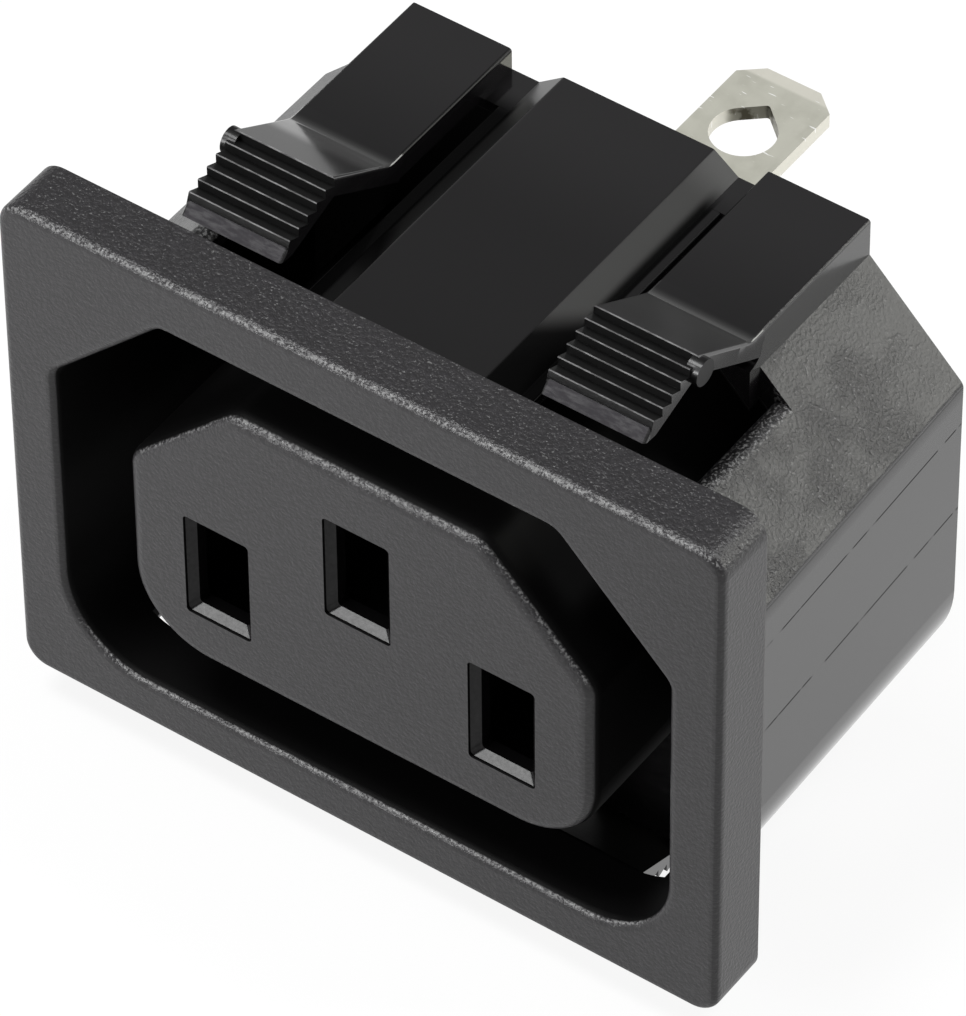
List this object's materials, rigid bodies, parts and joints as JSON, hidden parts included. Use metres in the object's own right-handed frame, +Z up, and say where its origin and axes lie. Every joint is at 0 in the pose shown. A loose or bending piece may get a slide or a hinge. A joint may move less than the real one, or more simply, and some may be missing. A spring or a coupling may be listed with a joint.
{
  "type": "snap-in panel power outlet",
  "caption": "Snap-in panel outlet for an appliance plug: flanged black moulding with a shrouded well, a slotted contact block, toothed snap leaves and tinned solder lugs.",
  "frame": {"origin": "centre of the flange's back face, the plane that rests on the panel", "axes": "+X to the right seen from the plug side, +Y from the flange towards the lugs, +Z up, on the earth contact's side"},
  "size_m": [0.0348, 0.0309, 0.0292],
  "materials": {
    "black_plastic": "fine spark-eroded texture on the flange and block, smooth satin on the walls and leaves",
    "tinned_brass": "satin tin plate"
  },
  "bodies": {
    "outlet": {"housing": "black_plastic", "contact_line": "tinned_brass", "contact_neutral": "tinned_brass", "contact_earth": "tinned_brass"},
    "snap_leaf_top_left": {"snap_leaf_top_left": "black_plastic"},
    "snap_leaf_top_right": {"snap_leaf_top_right": "black_plastic"},
    "snap_leaf_bottom_left": {"snap_leaf_bottom_left": "black_plastic"},
    "snap_leaf_bottom_right": {"snap_leaf_bottom_right": "black_plastic"}
  },
  "joints": [
    {"name": "snap_leaf_top_left_flex", "type": "hinge", "parent": "outlet", "child": "snap_leaf_top_left", "pos_m": [-0.00867, 0.00806, 0.01167], "axis": [1, 0, 0], "range_deg": [0, 30.5], "stiffness_Nm_per_rad": 0.25},
    {"name": "snap_leaf_top_right_flex", "type": "hinge", "parent": "outlet", "child": "snap_leaf_top_right", "pos_m": [0.00867, 0.00806, 0.01167], "axis": [1, 0, 0], "range_deg": [0, 30.5], "stiffness_Nm_per_rad": 0.25},
    {"name": "snap_leaf_bottom_left_flex", "type": "hinge", "parent": "outlet", "child": "snap_leaf_bottom_left", "pos_m": [-0.00847, 0.00806, -0.01167], "axis": [-1, 0, 0], "range_deg": [0, 30.5], "stiffness_Nm_per_rad": 0.25},
    {"name": "snap_leaf_bottom_right_flex", "type": "hinge", "parent": "outlet", "child": "snap_leaf_bottom_right", "pos_m": [0.00847, 0.00806, -0.01167], "axis": [-1, 0, 0], "range_deg": [0, 30.5], "stiffness_Nm_per_rad": 0.25}
  ]
}
